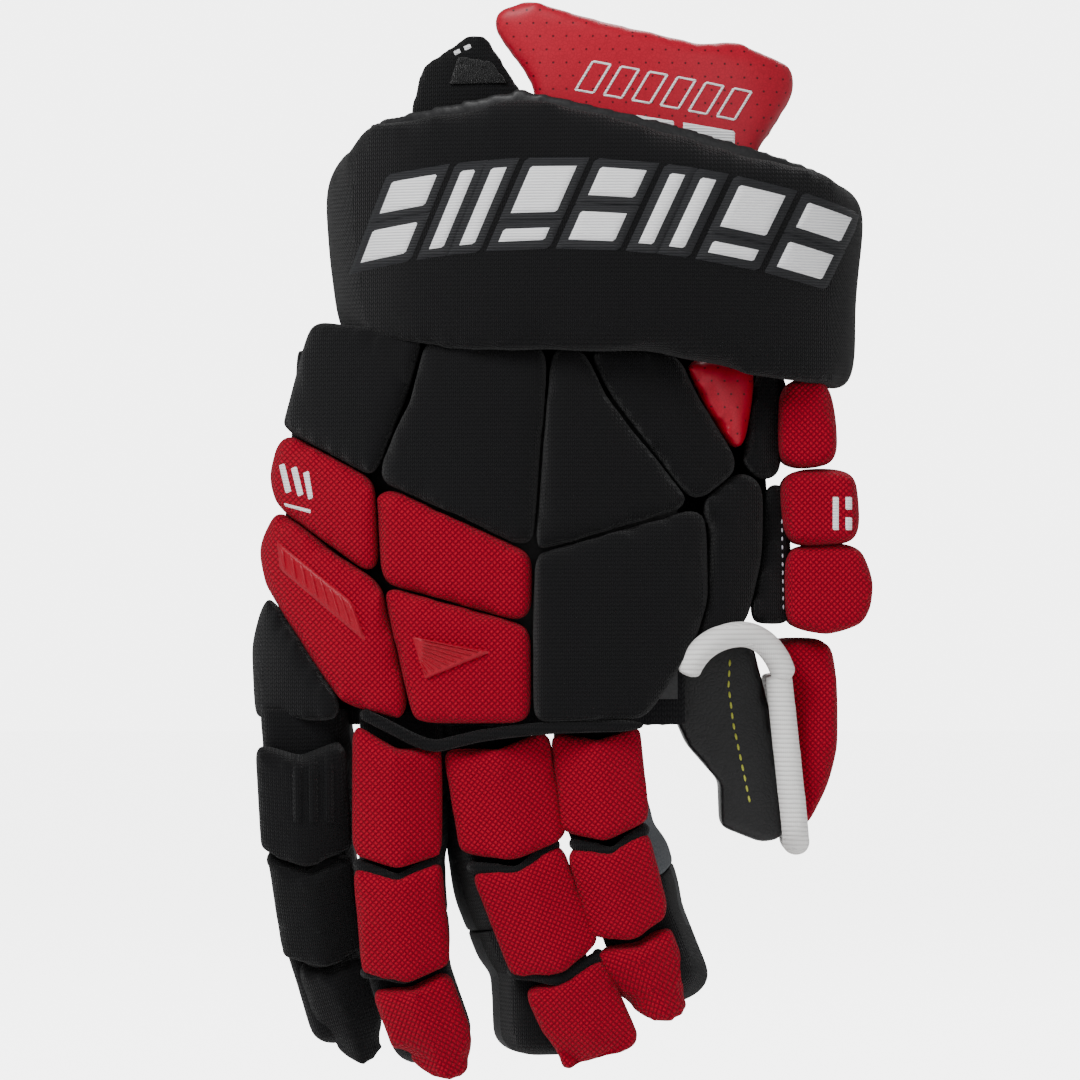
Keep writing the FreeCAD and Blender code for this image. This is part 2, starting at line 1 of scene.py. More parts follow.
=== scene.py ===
import bpy
import bmesh
import json
import math
import numpy as np
from mathutils import Matrix, Vector
from mathutils.bvhtree import BVHTree


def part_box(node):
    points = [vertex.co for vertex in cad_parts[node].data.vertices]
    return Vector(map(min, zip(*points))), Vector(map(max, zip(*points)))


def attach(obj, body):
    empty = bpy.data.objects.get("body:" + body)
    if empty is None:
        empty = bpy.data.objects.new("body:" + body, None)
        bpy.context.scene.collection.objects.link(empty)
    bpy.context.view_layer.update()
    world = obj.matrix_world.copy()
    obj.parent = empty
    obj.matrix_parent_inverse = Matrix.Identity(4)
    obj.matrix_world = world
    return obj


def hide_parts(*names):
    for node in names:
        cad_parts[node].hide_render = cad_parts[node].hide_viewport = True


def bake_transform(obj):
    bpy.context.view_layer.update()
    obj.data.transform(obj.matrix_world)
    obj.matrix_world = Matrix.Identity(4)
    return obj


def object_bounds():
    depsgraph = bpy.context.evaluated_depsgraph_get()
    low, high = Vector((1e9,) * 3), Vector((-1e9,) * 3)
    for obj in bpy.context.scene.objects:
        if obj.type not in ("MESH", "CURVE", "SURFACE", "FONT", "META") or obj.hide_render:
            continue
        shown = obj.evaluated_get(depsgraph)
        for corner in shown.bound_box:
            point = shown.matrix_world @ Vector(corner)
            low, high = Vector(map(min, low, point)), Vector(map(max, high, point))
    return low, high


# A right-hand ice hockey glove: fingers down, back of the hand towards -Y, thumb on +X.
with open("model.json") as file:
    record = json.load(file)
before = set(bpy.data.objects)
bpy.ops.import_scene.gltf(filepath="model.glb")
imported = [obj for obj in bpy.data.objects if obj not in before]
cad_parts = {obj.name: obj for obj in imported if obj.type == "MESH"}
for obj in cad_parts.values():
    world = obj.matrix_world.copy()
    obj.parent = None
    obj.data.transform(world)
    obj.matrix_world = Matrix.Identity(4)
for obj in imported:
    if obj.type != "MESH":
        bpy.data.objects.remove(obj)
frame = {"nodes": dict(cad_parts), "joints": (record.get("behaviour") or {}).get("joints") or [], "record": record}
boxAtStart = [list(corner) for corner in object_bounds()]
scene = bpy.context.scene
mm = 0.001
print("frame loaded")

# Camera, floor and light
studio = {
    "centre": (0.0, -0.0612), "viewWidth": 0.348, "distance": 2.4,
    "floorBelow": 0.035, "floorSize": 6.0, "skyLight": 0.42, "backdrop": 5.0, "floorGlow": 4.4,
    "lights": {      # place, target, size, power
        "keyLight": ((-0.75, -1.0, 1.05), (0, 0, -0.06), 0.7, 26),
        "fillLight": ((1.1, -1.2, 0.15), (0, 0, -0.06), 1.0, 5),
        "rimLight": ((0.3, 1.0, 1.0), (0, 0, -0.02), 0.8, 12),
    },
}


def makeCamera(values):
    camera = bpy.data.cameras.new("camera")
    camera.sensor_width = 36.0
    camera.lens = 36.0 * values["distance"] / values["viewWidth"]
    camera.clip_end = 30.0
    holder = bpy.data.objects.new("camera", camera)
    holder.location = (values["centre"][0], -values["distance"], values["centre"][1])
    holder.rotation_euler = (math.radians(90), 0, 0)
    scene.collection.objects.link(holder)
    scene.camera = holder


def addAreaLight(name, place, target, size, power):
    light = bpy.data.lights.new(name, "AREA")
    light.size = size
    light.energy = power
    holder = bpy.data.objects.new(name, light)
    holder.location = place
    holder.rotation_euler = (Vector(target) - Vector(place)).to_track_quat("-Z", "Y").to_euler()
    scene.collection.objects.link(holder)


def makeStudio(values):
    makeCamera(values)
    world = bpy.data.worlds.new("studio")
    scene.world = world
    world.use_nodes = True
    sky = world.node_tree
    seen = sky.nodes.new("ShaderNodeLightPath").outputs["Is Camera Ray"]
    glow = mathNode(sky, "MULTIPLY_ADD", seen, values["backdrop"] - values["skyLight"], values["skyLight"])
    sky.nodes["Background"].inputs["Color"].default_value = (1, 1, 1, 1)
    sky.links.new(glow, sky.nodes["Background"].inputs["Strength"])
    bm = bmesh.new()
    bmesh.ops.create_grid(bm, x_segments=1, y_segments=1, size=values["floorSize"])
    bmesh.ops.translate(bm, verts=bm.verts, vec=(0, 0, boxAtStart[0][2] - values["floorBelow"]))
    floor = finishMesh(bm, "floor")
    pale = plainMaterial("paleFloor", (0.86, 0.86, 0.86), 0.8)
    floor.data.materials.append(pale)
    shader = pale.node_tree.nodes["Principled BSDF"]
    seen = pale.node_tree.nodes.new("ShaderNodeLightPath").outputs["Is Camera Ray"]
    shader.inputs["Emission Color"].default_value = (1, 1, 1, 1)
    glow = mathNode(pale.node_tree, "MULTIPLY", seen, values["floorGlow"])
    pale.node_tree.links.new(glow, shader.inputs["Emission Strength"])
    for name, light in values["lights"].items():
        addAreaLight(name, *light)


# Small mesh helpers
def finishMesh(bm, name, smooth=True):
    mesh = bpy.data.meshes.new(name)
    bm.to_mesh(mesh)
    bm.free()
    if smooth:
        mesh.shade_smooth()
    piece = bpy.data.objects.new(name, mesh)
    scene.collection.objects.link(piece)
    return piece


def getPoints(mesh):
    flat = np.empty(len(mesh.vertices) * 3, np.float32)
    mesh.vertices.foreach_get("co", flat)
    return flat.reshape(-1, 3).astype(float)


def setPoints(mesh, points):
    mesh.vertices.foreach_set("co", points.astype(np.float32).ravel())
    mesh.update()


def getNormals(mesh):
    flat = np.empty(len(mesh.vertices) * 3, np.float32)
    mesh.vertex_normals.foreach_get("vector", flat)
    return flat.reshape(-1, 3).astype(float)


def bakeModifiers(piece):
    graph = bpy.context.evaluated_depsgraph_get()
    baked = bpy.data.meshes.new_from_object(piece.evaluated_get(graph))
    piece.modifiers.clear()
    old = piece.data
    piece.data = baked
    bpy.data.meshes.remove(old)
    baked.shade_smooth()


def remeshPiece(piece, voxel):
    remesh = piece.modifiers.new("voxels", "REMESH")
    remesh.mode = "VOXEL"
    remesh.voxel_size = voxel * mm
    bakeModifiers(piece)


def smoothPiece(piece, rounds, factor=0.5):
    smooth = piece.modifiers.new("settle", "SMOOTH")
    smooth.factor = factor
    smooth.iterations = rounds
    bakeModifiers(piece)


def addSubdivision(piece, levels):
    modifier = piece.modifiers.new("finer", "SUBSURF")
    modifier.levels = levels
    modifier.render_levels = levels


def copyOfNode(node, name):
    bm = bmesh.new()
    bm.from_mesh(frame["nodes"][node].data)
    bmesh.ops.remove_doubles(bm, verts=bm.verts, dist=2e-5)
    return finishMesh(bm, name)


def bodyOfNode(node):
    for body, members in frame["record"]["behaviour"]["bodies"].items():
        if node in members:
            return body
    raise ValueError(node)


def slotOfNode(node):
    for part in frame["record"]["subparts"]:
        if part["node"] == node:
            return part["material_slot"]
    raise ValueError(node)


# A flat map for cloth patterns: each face takes the two local axes it faces least, in metres.
def mapCloth(piece, local=None):
    mesh = piece.data
    turn = np.array(local.inverted() if local else Matrix.Identity(4))
    points = getPoints(mesh) @ turn[:3, :3].T + turn[:3, 3]
    faceNormals = np.empty(len(mesh.polygons) * 3, np.float32)
    mesh.polygons.foreach_get("normal", faceNormals)
    faceNormals = np.abs(faceNormals.reshape(-1, 3) @ turn[:3, :3].T)
    corners = np.empty(len(mesh.loops), np.int32)
    mesh.loops.foreach_get("vertex_index", corners)
    counts = np.empty(len(mesh.polygons), np.int32)
    mesh.polygons.foreach_get("loop_total", counts)
    facing = np.repeat(np.argmax(faceNormals * (0.8, 1.0, 0.7), axis=1), counts)
    spots = points[corners]
    across = np.where(facing == 0, spots[:, 1], spots[:, 0])
    along = np.where(facing == 2, spots[:, 1], spots[:, 2])
    layer = mesh.uv_layers.get("clothMap") or mesh.uv_layers.new(name="clothMap")
    layer.data.foreach_set("uv", np.stack([across, along], axis=1).astype(np.float32).ravel())


# Node tools and the patterns of the cloths and leathers
def mathNode(tree, operation, first, second=None, third=None):
    node = tree.nodes.new("ShaderNodeMath")
    node.operation = operation
    for index, item in enumerate((first, second, third)):
        if item is None:
            continue
        if isinstance(item, (int, float)):
            node.inputs[index].default_value = item
        else:
            tree.links.new(item, node.inputs[index])
    return node.outputs[0]


def newGroup(name, inputs, outputs):
    tree = bpy.data.node_groups.new(name, "ShaderNodeTree")
    for label, kind, value in inputs:
        socket = tree.interface.new_socket(label, in_out="INPUT", socket_type=kind)
        if value is not None:
            socket.default_value = value
    for label, kind in outputs:
        tree.interface.new_socket(label, in_out="OUTPUT", socket_type=kind)
    return tree, tree.nodes.new("NodeGroupInput"), tree.nodes.new("NodeGroupOutput")


def patternGroup(name, pitch):
    inputs = [("Vector", "NodeSocketVector", None), ("Pitch", "NodeSocketFloat", pitch)]
    return newGroup(name, inputs, [("Height", "NodeSocketFloat"), ("Shade", "NodeSocketFloat")])


def splitPattern(tree, vector, pitch):
    scale = tree.nodes.new("ShaderNodeVectorMath")
    scale.operation = "SCALE"
    tree.links.new(vector, scale.inputs[0])
    tree.links.new(mathNode(tree, "DIVIDE", 1.0, pitch), scale.inputs["Scale"])
    parts = tree.nodes.new("ShaderNodeSeparateXYZ")
    tree.links.new(scale.outputs[0], parts.inputs[0])
    return parts.outputs[0], parts.outputs[1]


def hump(tree, value):
    return mathNode(tree, "SINE", mathNode(tree, "MULTIPLY", mathNode(tree, "FRACT", value), math.pi))


def makeBasketWeave():
    tree, start, end = patternGroup("basketWeave", 0.0013)
    across, along = splitPattern(tree, start.outputs[0], start.outputs[1])
    sideways = mathNode(tree, "ADD", across, along)
    upward = mathNode(tree, "SUBTRACT", across, along)
    cell = mathNode(tree, "ADD", mathNode(tree, "FLOOR", sideways), mathNode(tree, "FLOOR", upward))
    over = mathNode(tree, "ABSOLUTE", mathNode(tree, "MODULO", cell, 2.0))
    warp = mathNode(tree, "MULTIPLY", hump(tree, sideways), mathNode(tree, "POWER", hump(tree, upward), 0.45))
    weft = mathNode(tree, "MULTIPLY", hump(tree, upward), mathNode(tree, "POWER", hump(tree, sideways), 0.45))
    mix = tree.nodes.new("ShaderNodeMix")
    tree.links.new(over, mix.inputs["Factor"])
    tree.links.new(warp, mix.inputs["A"])
    tree.links.new(weft, mix.inputs["B"])
    tree.links.new(mix.outputs[0], end.inputs["Height"])
    tree.links.new(mathNode(tree, "POWER", mix.outputs[0], 0.6), end.inputs["Shade"])
    return tree


def makeFineKnit():
    tree, start, end = patternGroup("fineKnit", 0.0009)
    across, along = splitPattern(tree, start.outputs[0], start.outputs[1])
    lean = mathNode(tree, "ABSOLUTE", mathNode(tree, "SUBTRACT", mathNode(tree, "FRACT", across), 0.5))
    row = mathNode(tree, "ADD", along, lean)
    loops = mathNode(tree, "MULTIPLY", hump(tree, row), hump(tree, mathNode(tree, "MULTIPLY", across, 2.0)))
    tree.links.new(mathNode(tree, "POWER", loops, 0.7), end.inputs["Height"])
    tree.links.new(mathNode(tree, "POWER", loops, 0.5), end.inputs["Shade"])
    return tree


def makeRibKnit():
    tree, start, end = patternGroup("ribKnit", 0.0016)
    across, along = splitPattern(tree, start.outputs[0], start.outputs[1])
    rib = hump(tree, along)
    fine = mathNode(tree, "MULTIPLY", hump(tree, mathNode(tree, "MULTIPLY", across, 2.5)), 0.25)
    height = mathNode(tree, "ADD", mathNode(tree, "MULTIPLY", rib, 0.8), fine)
    tree.links.new(height, end.inputs["Height"])
    tree.links.new(mathNode(tree, "POWER", rib, 0.4), end.inputs["Shade"])
    return tree


def makeLeatherGrain():
    tree, start, end = patternGroup("leatherGrain", 0.0012)
    cells = tree.nodes.new("ShaderNodeTexVoronoi")
    cells.feature = "DISTANCE_TO_EDGE"
    tree.links.new(start.outputs[0], cells.inputs["Vector"])
    tree.links.new(mathNode(tree, "DIVIDE", 1.0, start.outputs[1]), cells.inputs["Scale"])
    pebble = mathNode(tree, "MINIMUM", mathNode(tree, "MULTIPLY", cells.outputs["Distance"], 5.0), 1.0)
    creases = tree.nodes.new("ShaderNodeTexNoise")
    creases.inputs["Scale"].default_value = 160.0
    creases.inputs["Detail"].default_value = 5.0
    tree.links.new(start.outputs[0], creases.inputs["Vector"])
    height = mathNode(tree, "ADD", mathNode(tree, "MULTIPLY", pebble, 0.5), creases.outputs[0])
    tree.links.new(height, end.inputs["Height"])
    tree.links.new(mathNode(tree, "POWER", pebble, 0.5), end.inputs["Shade"])
    return tree


def makePerforation():
    tree, start, end = newGroup(
        "perforation",
        [("Vector", "NodeSocketVector", None), ("Pitch", "NodeSocketFloat", 0.0042),
         ("Size", "NodeSocketFloat", 0.13)],
        [("Hole", "NodeSocketFloat")],
    )
    across, along = splitPattern(tree, start.outputs[0], start.outputs[1])
    shifted = mathNode(tree, "ADD", across, mathNode(tree, "MULTIPLY", mathNode(tree, "FLOOR", along), 0.5))
    dx = mathNode(tree, "SUBTRACT", mathNode(tree, "FRACT", shifted), 0.5)
    dy = mathNode(tree, "SUBTRACT", mathNode(tree, "FRACT", along), 0.5)
    squares = mathNode(tree, "ADD", mathNode(tree, "MULTIPLY", dx, dx), mathNode(tree, "MULTIPLY", dy, dy))
    far = mathNode(tree, "SQRT", squares)
    edge = tree.nodes.new("ShaderNodeMapRange")
    edge.interpolation_type = "SMOOTHSTEP"
    tree.links.new(far, edge.inputs["Value"])
    tree.links.new(start.outputs[2], edge.inputs["From Max"])
    edge.inputs["From Min"].default_value = 0.03
    edge.inputs["To Min"].default_value = 1.0
    edge.inputs["To Max"].default_value = 0.0
    tree.links.new(edge.outputs["Result"], end.inputs["Hole"])
    return tree


patterns = {
    "basket": makeBasketWeave(), "knit": makeFineKnit(), "rib": makeRibKnit(),
    "grain": makeLeatherGrain(), "holes": makePerforation(),
}
materials = {}


def plainMaterial(name, colour, roughness):
    material = bpy.data.materials.new(name)
    material.use_nodes = True
    shader = material.node_tree.nodes["Principled BSDF"]
    shader.inputs["Base Color"].default_value = (*colour, 1)
    shader.inputs["Roughness"].default_value = roughness
    materials[name] = material
    return material


def clothMaterial(name, pattern, colour, recessShadeColour, pitch, bump, roughness, sheen=0.0, coat=0.0,
                  mottle=0.12, perforated=None, mapped=True):
    material = plainMaterial(name, colour, roughness)
    tree = material.node_tree
    shader = tree.nodes["Principled BSDF"]
    shader.inputs["Sheen Weight"].default_value = sheen
    shader.inputs["Sheen Roughness"].default_value = 0.45
    shader.inputs["Coat Weight"].default_value = coat
    shader.inputs["Coat Roughness"].default_value = 0.28
    shader.inputs["Specular IOR Level"].default_value = 0.3 if roughness < 0.7 else 0.12
    if mapped:
        source = tree.nodes.new("ShaderNodeUVMap")
        source.uv_map = "clothMap"
        place = source.outputs[0]
    else:
        place = tree.nodes.new("ShaderNodeTexCoord").outputs["Object"]
    group = tree.nodes.new("ShaderNodeGroup")
    group.node_tree = patterns[pattern]
    tree.links.new(place, group.inputs["Vector"])
    group.inputs["Pitch"].default_value = pitch
    blotch = tree.nodes.new("ShaderNodeTexNoise")
    blotch.inputs["Scale"].default_value = 55.0
    blotch.inputs["Detail"].default_value = 4.0
    tree.links.new(tree.nodes.new("ShaderNodeTexCoord").outputs["Object"], blotch.inputs["Vector"])
    uneven = mathNode(tree, "ADD", 1.0 - mottle, mathNode(tree, "MULTIPLY", blotch.outputs[0], 2 * mottle))
    shade = mathNode(tree, "MULTIPLY", group.outputs["Shade"], uneven)
    # Painted shade: the pattern's Shade output darkens the colour towards the darker recess colour in the gaps
    # between threads and grain pebbles; the noise mottle is random tone
    recessShadeMix = tree.nodes.new("ShaderNodeMix")
    recessShadeMix.data_type = "RGBA"
    tree.links.new(shade, recessShadeMix.inputs["Factor"])
    recessShadeMix.inputs["A"].default_value = (*recessShadeColour, 1)
    recessShadeMix.inputs["B"].default_value = (*colour, 1)
    colourOut, heightOut = recessShadeMix.outputs["Result"], group.outputs["Height"]
    if perforated:
        holes = tree.nodes.new("ShaderNodeGroup")
        holes.node_tree = patterns["holes"]
        tree.links.new(place, holes.inputs["Vector"])
        holes.inputs["Pitch"].default_value = perforated
        dark = tree.nodes.new("ShaderNodeMix")
        dark.data_type = "RGBA"
        tree.links.new(holes.outputs[0], dark.inputs["Factor"])
        tree.links.new(colourOut, dark.inputs["A"])
        dark.inputs["B"].default_value = (0.03, 0.0, 0.002, 1)
        colourOut = dark.outputs["Result"]
        heightOut = mathNode(tree, "SUBTRACT", mathNode(tree, "MULTIPLY", heightOut, 0.25), holes.outputs[0])
    tree.links.new(colourOut, shader.inputs["Base Color"])
    relief = tree.nodes.new("ShaderNodeBump")
    relief.inputs["Strength"].default_value = bump
    relief.inputs["Distance"].default_value = 0.0006
    tree.links.new(heightOut, relief.inputs["Height"])
    tree.links.new(relief.outputs[0], shader.inputs["Normal"])
    return material


makeStudio(studio)
cloths = {      # pattern, colour, darker recess colour (painted shade in the gaps between threads and grain pebbles), pitch in metres, bump, roughness and any extras
    "redWeave": ("basket", (0.40, 0.0, 0.017), (0.11, 0.0, 0.006), 0.0019, 0.85, 0.8, {"sheen": 0.03}),
    "blackKnit": ("knit", (0.0085, 0.0085, 0.009), (0.0025, 0.0025, 0.003), 0.0013, 0.6, 0.9,
                  {"sheen": 0.08}),
    "redRubber": ("grain", (0.34, 0.0, 0.014), (0.25, 0.0, 0.010), 0.0009, 0.2, 0.4, {"mapped": False}),
    "redLeather": ("grain", (0.42, 0.0, 0.018), (0.33, 0.0, 0.014), 0.0012, 0.12, 0.48,
                   {"coat": 0.05, "perforated": 0.0042}),
    "whiteRib": ("rib", (0.92, 0.91, 0.89), (0.55, 0.54, 0.53), 0.0016, 0.5, 0.85, {"sheen": 0.1}),
    "greyLeather": ("grain", (0.026, 0.027, 0.029), (0.012, 0.0125, 0.014), 0.0011, 0.35, 0.66,
                    {"mapped": False}),
    "paleGreyLeather": ("grain", (0.10, 0.107, 0.115), (0.06, 0.064, 0.07), 0.0011, 0.35, 0.7,
                        {"mapped": False}),
    "thumbLeather": ("grain", (0.009, 0.009, 0.0095), (0.004, 0.004, 0.0045), 0.0014, 0.25, 0.34,
                     {"coat": 0.25, "mapped": False}),
    "lining": ("knit", (0.012, 0.012, 0.013), (0.004, 0.004, 0.005), 0.0018, 0.5, 0.9, {"sheen": 0.1}),
    "loopPile": ("grain", (0.012, 0.012, 0.0125), (0.002, 0.002, 0.002), 0.0007, 1.0, 0.95,
                 {"sheen": 0.2, "mapped": False}),
    "hardSheet": ("grain", (0.02, 0.02, 0.021), (0.012, 0.012, 0.013), 0.002, 0.05, 0.45,
                  {"mapped": False}),
    "whiteThread": ("rib", (1.0, 1.0, 1.0), (0.62, 0.62, 0.70), 0.0009, 0.6, 0.5, {"sheen": 0.15}),
    "darkThread": ("rib", (0.016, 0.0165, 0.019), (0.006, 0.006, 0.007), 0.0009, 0.6, 0.55, {}),
}
for name, (*values, extras) in cloths.items():
    clothMaterial(name, *values, **extras)
plainMaterial("limeThread", (0.50, 0.52, 0.06), 0.6)
plainMaterial("greyThread", (0.16, 0.16, 0.17), 0.6)
print("materials ready")

finishOfSlot = {
    "red_weave": "redWeave", "black_knit": "blackKnit", "red_leather": "redLeather",
    "white_binding": "whiteRib", "palm_leather": "greyLeather", "thumb_leather": "thumbLeather",
    "hard_insert": "hardSheet", "lining": "lining", "loop_pile": "loopPile",
}


def dress(piece, node, finish=None, body=None):
    piece.data.materials.clear()
    piece.data.materials.append(materials[finish or finishOfSlot[slotOfNode(node)]])
    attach(piece, body or bodyOfNode(node))
    slotOfNode(node)


# Cushions: the CAD cushion's shape, blown up by the cloth solver
cushionBase = {"voxel": 3.0, "grow": 0.95, "pressure": 8.0, "frames": 20, "cap": 3.0, "settle": 2,
               "levels": 2, "fill": 0.7}


def inflate(piece, values):
    mesh = piece.data
    start = getPoints(mesh)
    cloth = piece.modifiers.new("air", "CLOTH")
    settings = cloth.settings
    settings.quality = 4
    settings.mass = 0.15
    settings.tension_stiffness = 12
    settings.compression_stiffness = 12
    settings.shear_stiffness = 4
    settings.bending_stiffness = 1.5
    settings.use_pressure = True
    settings.uniform_pressure_force = values["pressure"]
    settings.effector_weights.gravity = 0
    cloth.point_cache.frame_start = 1
    cloth.point_cache.frame_end = values["frames"]
    for step in range(1, values["frames"] + 1):
        scene.frame_set(step)
    graph = bpy.context.evaluated_depsgraph_get()
    blown = piece.evaluated_get(graph).to_mesh()
    moved = getPoints(blown) - start
    piece.evaluated_get(graph).to_mesh_clear()
    piece.modifiers.clear()
    scene.frame_set(1)
    far = np.linalg.norm(moved, axis=1, keepdims=True)
    cap = values["cap"] * mm
    setPoints(mesh, start + moved * np.minimum(1, cap / np.maximum(far, 1e-9)))


def makeCushion(node, name, reshape=None, local=None, finish=None, **changes):
    values = {**cushionBase, **changes}
    piece = copyOfNode(node, name)
    remeshPiece(piece, values["voxel"])
    if reshape:
        setPoints(piece.data, reshape(getPoints(piece.data)))
    setPoints(piece.data, getPoints(piece.data) + getNormals(piece.data) * values["grow"] * mm)
    inflate(piece, values)
    smoothPiece(piece, values["settle"])
    mapCloth(piece, local)
    addSubdivision(piece, values["levels"])
    dress(piece, node, finish)
    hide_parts(node)
    return piece


backCushions = {
    "pad_wrist_outer": "wristCushionOuter", "pad_wrist_middle": "wristCushionMiddle",
    "pad_wrist_centre": "wristCushionCentre", "pad_wrist_inner": "wristCushionInner",
    "perforated_insert": "perforatedInsert", "wrist_side_roll": "wristSideRoll",
    "pad_back_upper_outer": "backCushionUpperOuter", "pad_back_upper_inner": "backCushionUpperInner",
    "pad_back_lower_outer": "backCushionLowerOuter", "pad_back_lower_inner": "backCushionLowerInner",
    "pad_index_knuckle": "indexKnuckleCushion", "web_knit_roll": "webKnitRoll",
    "web_edge_pad": "webEdgeCushion", "pad_pinky_knuckle": "littleKnuckleCushion",
    "thumb_cuff_pad": "thumbCuffCushion", "thumb_wrist_pad": "thumbWristCushion",
    "thumb_base_pad": "thumbBaseCushion",
}
sideReach = {"left": 3.0, "grow": 1.3}      # the thumb-side cushions reach over to the back of the hand
wristTuck = {"rise": 5.5, "inward": 1.5, "from": -16.0}      # the wrist cushions run on under the cuff


def tuckUnderCuff(points):
    share = np.clip((points[:, 2] / mm - wristTuck["from"]) / -wristTuck["from"], 0, 1)
    points[:, 2] += wristTuck["rise"] * mm * share
    points[:, 1] += wristTuck["inward"] * mm * share
    return points


def reachInward(points):
    low, high = points[:, 0].min(), points[:, 0].max()
    points[:, 0] -= sideReach["left"] * mm * (high - points[:, 0]) / (high - low)
    return points


for node, name in backCushions.items():
    if node.startswith("thumb"):
        makeCushion(node, name, reachInward, grow=sideReach["grow"])
    elif node.startswith("pad_wrist") or node in ("perforated_insert", "wrist_side_roll"):
        makeCushion(node, name, tuckUnderCuff)
    else:
        makeCushion(node, name)
print("back cushions made")

# Lofts, rolls, patches and stitches
def loopEdges(verts):
    inside = set(verts)
    return [edge for vert in verts for edge in vert.link_edges
            if edge.other_vert(vert) in inside and edge.is_valid]


def loftRings(rings, capStart=True, capEnd=True):
    bm = bmesh.new()
    loops = []
    for ring in rings:
        verts = bmesh.ops.create_circle(bm, cap_ends=False, segments=len(ring), radius=1.0)["verts"]
        for vert, place in zip(verts, ring):
            vert.co = place
        loops.append(verts)
    edges = [list(set(loopEdges(verts))) for verts in loops]
    for first, second in zip(edges, edges[1:]):
        bmesh.ops.bridge_loops(bm, edges=first + second)
    for wanted, loop in ((capStart, edges[0]), (capEnd, edges[-1])):
        if wanted:
            bmesh.ops.edgeloop_fill(bm, edges=loop)
    bmesh.ops.recalc_face_normals(bm, faces=bm.faces)
    return bm


def smoothPath(points, steps):
    spots = [Vector(point) for point in points]
    ends = [spots[0] * 2 - spots[1]] + spots + [spots[-1] * 2 - spots[-2]]
    line = []
    for i in range(1, len(ends) - 2):
        before, here, after, beyond = ends[i - 1:i + 3]
        for step in range(steps):
            t = step / steps
            line.append(0.5 * (2 * here + (after - before) * t
                               + (2 * before - 5 * here + 4 * after - beyond) * t * t
                               + (3 * here - before - 3 * after + beyond) * t ** 3))
    return line + [spots[-1]]


def makeRoll(name, points, radius, sides=10, steps=6, flat=1.0, up=(0, 1, 0)):
    line = smoothPath(points, steps)
    rings = []
    for i, place in enumerate(line):
        ahead = (line[min(i + 1, len(line) - 1)] - line[max(i - 1, 0)]).normalized()
        side = ahead.cross(Vector(up)).normalized()
        lift = side.cross(ahead).normalized()
        near = min(i, len(line) - 1 - i) / 2
        size = radius * math.sqrt(min(1, 0.15 + near))
        rings.append([(place + side * math.cos(a) * size + lift * math.sin(a) * size * flat) * mm
                      for a in (2 * math.pi * k / sides for k in range(sides))])
    roll = finishMesh(loftRings(rings), name)
    mapCloth(roll)
    addSubdivision(roll, 1)
    return roll


def surfacesOf(*names):
    graph = bpy.context.evaluated_depsgraph_get()
    return [BVHTree.FromObject(bpy.data.objects[name], graph) for name in names]


def dropOnto(surfaces, x, z, palmSide=False):
    start = Vector((x * mm, 0.3 if palmSide else -0.3, z * mm))
    way = Vector((0, -1 if palmSide else 1, 0))
    hits = [hit for hit in (surface.ray_cast(start, way) for surface in surfaces) if hit[0]]
    if not hits:
        return None
    return min(hits, key=lambda hit: hit[3])[0].y / mm


# Each shape is four corners (x, z), laid on a surface and lifted inside a border
def makePatches(name, shapes, surfaces, rise, body, finish, edge=0.7, step=1.6, palmSide=False):
    bm = bmesh.new()
    outward = 1 if palmSide else -1
    tuck = 0.35      # the border starts this far under the surface
    for shape in shapes:
        a, b, c, d = [Vector(corner) for corner in shape]
        wide = max((b - a).length, (c - d).length)
        tall = max((d - a).length, (c - b).length)
        columns, rows = max(4, round(wide / step)), max(4, round(tall / step))
        grid = bmesh.ops.create_grid(bm, x_segments=columns, y_segments=rows, size=0.5)["verts"]
        drops = []
        for vert in grid:
            u, v = vert.co.x + 0.5, vert.co.y + 0.5
            spot = (a * (1 - u) + b * u) * (1 - v) + (d * (1 - u) + c * u) * v
            depth = dropOnto(surfaces, spot.x, spot.y, palmSide)
            border = min(u * wide, (1 - u) * wide, v * tall, (1 - v) * tall)
            lift = -tuck + (rise + tuck) * min(1, border / edge) ** 0.5
            if depth is None:
                drops.append(vert)
            else:
                vert.co = (spot.x * mm, (depth + outward * lift) * mm, spot.y * mm)
        bmesh.ops.delete(bm, geom=drops, context="VERTS")
    if not palmSide:
        bmesh.ops.recalc_face_normals(bm, faces=bm.faces)
    for face in bm.faces:
        if face.normal.y * outward < 0:
            face.normal_flip()
    patch = finishMesh(bm, name)
    mapCloth(patch)
    patch.data.materials.append(materials[finish])
    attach(patch, body)
    return patch


def spacedSpots(points, pitch):
    spots = [Vector(point) for point in points]
    lengths = [0.0]
    for first, second in zip(spots, spots[1:]):
        lengths.append(lengths[-1] + (second - first).length)
    count = max(1, int(lengths[-1] / pitch))
    for k in range(count):
        along = (k + 0.5) * lengths[-1] / count
        i = max(j for j in range(len(spots) - 1) if lengths[j] <= along)
        share = (along - lengths[i]) / (lengths[i + 1] - lengths[i])
        yield spots[i].lerp(spots[i + 1], share), (spots[i + 1] - spots[i]).normalized()


